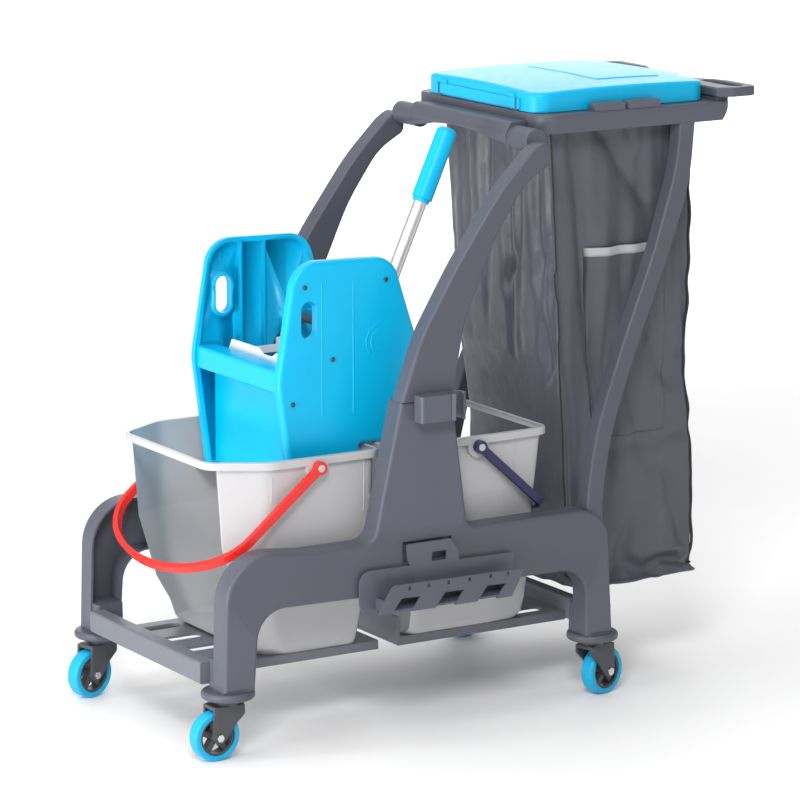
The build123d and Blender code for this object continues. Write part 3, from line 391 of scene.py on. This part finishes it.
def make_bag():
    """Coated cloth bag: slack panels that hang from the ring, creased at the corners, on a flat sewn foot."""
    points, base, faces = [], [], []
    for j in range(BAG_ROWS + 1):
        h = 1.0 - j / BAG_ROWS
        for p, n, place in bag_outline(h):
            points.append(p + n * BAG_WRINKLE * noise(Vector((place * 14, h * 9, 0.3))))
            base.append((p, n, place, h))
    foot = points[-BAG_COLUMNS:]
    centre = sum(foot, Vector()) / len(foot)
    for k in range(1, BAG_FLOOR_RINGS):
        points += [centre + (p - centre) * (1 - k / BAG_FLOOR_RINGS) for p in foot]
    points.append(centre)
    rings = BAG_ROWS + BAG_FLOOR_RINGS
    for j in range(rings - 1):
        for i in range(BAG_COLUMNS):
            a, b = j * BAG_COLUMNS + i, j * BAG_COLUMNS + (i + 1) % BAG_COLUMNS
            faces.append((a, a + BAG_COLUMNS, b + BAG_COLUMNS, b))
    last = (rings - 1) * BAG_COLUMNS
    faces += [(last + i, len(points) - 1, last + (i + 1) % BAG_COLUMNS) for i in range(BAG_COLUMNS)]
    bag = add_object("cloth_bag", points, faces, MATERIALS["bag_fabric"], "cart")
    settled = [Vector(p) for p in points]
    pins = bag.vertex_groups.new(name="pinned")
    body = BAG_ROWS * BAG_COLUMNS
    pins.add(list(range(2 * BAG_COLUMNS)) + list(range(body, len(points))), 1.0, "REPLACE")
    settled = settle(bag, SIM_FRAMES)
    for i, (p, n, place, h) in enumerate(base):
        rumple = BAG_RUMPLE * noise(Vector((place * 38, h * 24, 5.0))) * min(1.0, 6 * h, 6 * (1 - h))
        settled[i] -= n * (crease_depth(place, h) + rumple)
        reach = BAG_REACH_BY_HANDLE if n.x < -0.5 and 0.2 < h < 0.5 else BAG_REACH
        out = (settled[i] - p).dot(n)
        if out > reach:
            settled[i] -= n * (out - reach)
    for vertex, place in zip(bag.data.vertices, settled):
        vertex.co = place
    smooth(bag.data, 180.0)
    rounder = bag.modifiers.new("rounder", "SUBSURF")
    rounder.levels = rounder.render_levels = 1
    thick = bag.modifiers.new("thick", "SOLIDIFY")
    thick.thickness = BAG_CLOTH
    thick.offset = -1.0
    return bag


def tube_along(name, path, radius, material, sides=8, body="cart"):
    """Round cord along a path of points, in the given material: cloth tape or a fine rib."""
    points, faces = [], []
    for i, p in enumerate(path):
        ahead = (path[min(i + 1, len(path) - 1)] - path[max(i - 1, 0)]).normalized()
        a = ahead.orthogonal().normalized()
        b = ahead.cross(a)
        for k in range(sides):
            turn = 2 * math.pi * k / sides
            points.append(p + (a * math.cos(turn) + b * math.sin(turn)) * radius)
    for i in range(len(path) - 1):
        for k in range(sides):
            a, b = i * sides + k, i * sides + (k + 1) % sides
            faces.append((a, b, b + sides, a + sides))
    faces.append(tuple(range(sides - 1, -1, -1)))
    faces.append(tuple(range(len(points) - sides, len(points))))
    obj = add_object(name, points, faces, material, body)
    smooth(obj.data, 60.0)
    return obj


def nearest_column(bag, x_side, y_side):
    """The bag's vertices down one corner."""
    column = []
    for j in range(BAG_ROWS + 1):
        row = [bag.data.vertices[j * BAG_COLUMNS + i].co for i in range(BAG_COLUMNS)]
        column.append(max(row, key=lambda p: x_side * p.x + y_side * p.y).copy())
    return column


def make_pocket(bag):
    """Patch pocket on the near side, bulging a little, with a pale trim along its mouth."""
    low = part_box("bag")[0]
    tree = BVHTree.FromPolygons([v.co for v in bag.data.vertices], [p.vertices for p in bag.data.polygons])
    columns, rows = 30, 60
    tl, tr, br, bl = [Vector((low.x + x, 0, low.z + z)) for x, z in POCKET]

    def patch(u, v, out):
        p = (tl * (1 - u) + tr * u) * (1 - v) + (bl * (1 - u) + br * u) * v
        hit = tree.ray_cast(Vector((p.x, low.y - 0.1, p.z)), Vector((0, 1, 0)))[0]
        belly = math.sin(math.pi * u) * (1 - v) ** 1.5 * 0.005
        return Vector((p.x, hit.y - out - belly, p.z))

    def sheet_of(name, v1, count, out, material):
        places = [(i / columns, v1 * j / count) for j in range(count + 1) for i in range(columns + 1)]
        points = [patch(u, v, out) for u, v in places]
        faces = []
        for j in range(count):
            for i in range(columns):
                a = j * (columns + 1) + i
                faces.append((a, a + columns + 1, a + columns + 2, a + 1))
        obj = add_object(name, points, faces, material, "cart")
        smooth(obj.data, 180.0)
        thick = obj.modifiers.new("thick", "SOLIDIFY")
        thick.thickness = BAG_CLOTH
        thick.offset = -1.0
        return obj

    pocket = sheet_of("cloth_pocket", 1.0, rows, 0.0018, MATERIALS["bag_fabric"])
    tall = (tl - bl).length
    trim = sheet_of("pocket_trim", POCKET_TRIM / tall, 3, 0.0032, PALE_TRIM)
    return pocket, trim


def make_bag_pieces():
    bag = make_bag()
    pocket, trim = make_pocket(bag)
    rear = nearest_column(bag, 1, -1)[:-2]
    wavy = []
    for i, p in enumerate(rear):
        wave = 0.0022 * noise(Vector((i * 0.23, 1.7, 0.0))) + 0.0012 * math.sin(i * 0.9)
        wavy.append(p + Vector((1, -1, 0)).normalized() * (wave - 0.0004))
    piping = tube_along("zip_piping", wavy, 0.0026, BLACK_TAPE)
    front = [p + Vector((-1, -1, 0)).normalized() * 0.0006 for p in nearest_column(bag, -1, -1)[:-2]]
    seam = tube_along("corner_seam", front, 0.0013, BLACK_TAPE)
    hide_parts("bag")
    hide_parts("bag_pocket")
    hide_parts("bag_zip")


make_bag_pieces()


# ---- small moulded details ----
LID_PANEL = (0.166, 0.298, 0.105)  # from the lid's front, and half width
LID_PANEL_RISE = 0.0018
BUCKET_RIBS = (  # node, body, place behind the bucket's foremost edge, foot and top
    ("front_bucket", "front_bucket", 0.094, 0.394, 0.436),
    ("front_bucket", "front_bucket", 0.264, 0.360, 0.448),
    ("rear_bucket", "cart", 0.241, 0.370, 0.448),
)
BUCKET_RIB_R = 0.0009


def surface_of(node):
    mesh = NODES[node].data
    return BVHTree.FromPolygons([v.co for v in mesh.vertices], [p.vertices for p in mesh.polygons])


def make_lid_panel():
    """Low raised field on the lid, following its crown."""
    low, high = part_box("lid")
    tree = surface_of("lid")
    x0, x1, half = low.x + LID_PANEL[0], low.x + LID_PANEL[1], LID_PANEL[2]
    count, points, faces = 48, [], []
    for j in range(count + 1):
        for i in range(count + 1):
            x, y = x0 + (x1 - x0) * i / count, -half + 2 * half * j / count
            edge = min(x - x0, x1 - x, y + half, half - y)
            z = tree.ray_cast(Vector((x, y, high.z + 0.05)), Vector((0, 0, -1)))[0].z
            points.append((x, y, z - 0.0004 + LID_PANEL_RISE * min(1.0, edge / 0.004)))
    for j in range(count):
        for i in range(count):
            a = j * (count + 1) + i
            faces.append((a, a + 1, a + count + 2, a + count + 1))
    panel = add_object("lid_panel", points, faces, MATERIALS["sky_blue"], "lid")
    smooth(panel.data, 40.0)


def make_bucket_ribs():
    """Fine upright ribs on the buckets' sides."""
    for number, (node, body, behind, foot, top) in enumerate(BUCKET_RIBS):
        low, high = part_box(node)
        tree = surface_of(node)
        for side in (-1, 1):
            path = []
            for k in range(12):
                start = Vector((low.x + behind, side * (high.y + 0.1), foot + (top - foot) * k / 11))
                path.append(tree.ray_cast(start, Vector((0, -side, 0)))[0])
            name = f"bucket_rib_{number}_{side + 1}"
            tube_along(name, path, BUCKET_RIB_R, MATERIALS["bucket_grey"], body=body)


CHEEK_FACE = 0.148  # outer face of a wringer cheek from the cart's middle plane
CHEEK_RIBS = (0.0795, 0.1375)  # behind the cheek's foremost edge
CHEEK_RIB_SPAN = (0.515, 0.732)
CHEEK_RIB_R = 0.0013
SHAFT_CENTRE = (0.1895, 0.627)  # behind the cheek's foremost edge, and height
SHAFT_ARCS = (0.019, 0.028)
SHAFT_ARC_SPAN = (105.0, 255.0)


def level_cheek(node, side):
    """A wringer cheek with a level outer face in place of the node's raised strips and boss."""
    shape = bmesh.new()
    shape.from_mesh(NODES[node].data)
    for vertex in shape.verts:
        vertex.co.y = side * min(side * vertex.co.y, CHEEK_FACE)
    bmesh.ops.remove_doubles(shape, verts=shape.verts, dist=0.000002)
    bmesh.ops.dissolve_degenerate(shape, edges=shape.edges, dist=0.000002)
    cheek = add_object(f"level_{node}", [], [], MATERIALS["sky_blue"], "wringer")
    shape.to_mesh(cheek.data)
    shape.free()
    smooth(cheek.data, 30.0)
    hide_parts(node)


def make_cheeks():
    """Both cheeks, each with slim upright ribs and two arcs round the lever's shaft."""
    for side, name in ((-1, "left"), (1, "right")):
        node = f"{name}_wringer_plate"
        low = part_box(node)[0]
        level_cheek(node, side)
        y = side * (CHEEK_FACE - 0.0005)
        paths = []
        for behind in CHEEK_RIBS:
            foot, top = CHEEK_RIB_SPAN
            paths.append([Vector((low.x + behind, y, foot + (top - foot) * k / 12)) for k in range(13)])
        for radius in SHAFT_ARCS:
            start, end = (math.radians(a) for a in SHAFT_ARC_SPAN)
            turns = [start + (end - start) * k / 24 for k in range(25)]
            centre = Vector((low.x + SHAFT_CENTRE[0], y, SHAFT_CENTRE[1]))
            paths.append([centre + Vector((math.cos(a), 0, math.sin(a))) * radius for a in turns])
        for number, path in enumerate(paths):
            rib = f"{name}_cheek_rib_{number}"
            tube_along(rib, path, CHEEK_RIB_R, MATERIALS["sky_blue"], body="wringer")


make_lid_panel()
make_bucket_ribs()
make_cheeks()


# ---- stage, light and camera ----
FLOOR_HALF = 45.0
FLOOR_GLOW = (2.5, 7.5, 0.62)  # starts and is full this far from the cart, and how strong
SKY = 0.42
CAMERA_PLACE = (-3.48685, -5.65467, 1.85669)
CAMERA_DOWN = 11.6451
CAMERA_TURN = 31.4408
CAMERA_LENS = 183.42


def make_floor():
    mesh = bpy.data.meshes.new("studio_floor")
    h = FLOOR_HALF
    mesh.from_pydata([(-h, -h, 0), (h, -h, 0), (h, h, 0), (-h, h, 0)], [], [(0, 1, 2, 3)])
    floor = bpy.data.objects.new("studio_floor", mesh)
    bpy.context.scene.collection.objects.link(floor)
    mat, tree, bsdf, where = shader("studio_paper")
    paper = grain_of(tree, where, 3.0)
    tree.links.new(mixed(tree, paper, (0.9, 0.9, 0.9), (0.93, 0.93, 0.93)), bsdf.inputs["Base Color"])
    bsdf.inputs["Roughness"].default_value = 0.7
    near, far, strength = FLOOR_GLOW
    away = tree.nodes.new("ShaderNodeVectorMath")
    away.operation = "LENGTH"
    tree.links.new(where, away.inputs[0])
    bsdf.inputs["Emission Color"].default_value = (1.0, 1.0, 1.0, 1.0)
    glow = remap(tree, away.outputs["Value"], near, far, 0.0, strength)
    tree.links.new(glow, bsdf.inputs["Emission Strength"])
    mesh.materials.append(mat)


def area_light(name, place, target, size, power):
    data = bpy.data.lights.new(name, "AREA")
    data.shape = "RECTANGLE"
    data.size, data.size_y = size
    data.energy = power
    lamp = bpy.data.objects.new(name, data)
    lamp.location = place
    lamp.rotation_euler = (Vector(target) - Vector(place)).to_track_quat("-Z", "Y").to_euler()
    bpy.context.scene.collection.objects.link(lamp)


def make_light():
    world = bpy.data.worlds.new("studio")
    bpy.context.scene.world = world
    world.use_nodes = True
    sky = world.node_tree.nodes["Background"]
    sky.inputs["Color"].default_value = (1.0, 1.0, 1.0, 1.0)
    sky.inputs["Strength"].default_value = SKY
    middle = (0.0, 0.0, 0.5)
    area_light("key", (-2.6, -3.6, 3.6), middle, (1.3, 1.3), 150.0)
    area_light("left_strip", (-4.0, 0.6, 1.8), middle, (0.8, 2.4), 40.0)
    area_light("back_sheen", (4.6, 7.4, 2.6), middle, (7.0, 3.4), 170.0)
    area_light("top", (0.0, 1.5, 5.5), middle, (7.0, 7.0), 185.0)
    area_light("low_fill", (-2.1, -0.5, 0.4), (-0.5, 0.0, 0.3), (0.7, 0.5), 20.0)


def make_camera():
    data = bpy.data.cameras.new("camera")
    data.lens = CAMERA_LENS
    data.clip_end = 100.0
    camera = bpy.data.objects.new("camera", data)
    camera.location = CAMERA_PLACE
    camera.rotation_euler = (math.radians(90 - CAMERA_DOWN), 0.0, -math.radians(CAMERA_TURN))
    bpy.context.scene.collection.objects.link(camera)
    bpy.context.scene.camera = camera


make_floor()
make_light()
make_camera()
bpy.context.scene.view_settings.view_transform = "Standard"
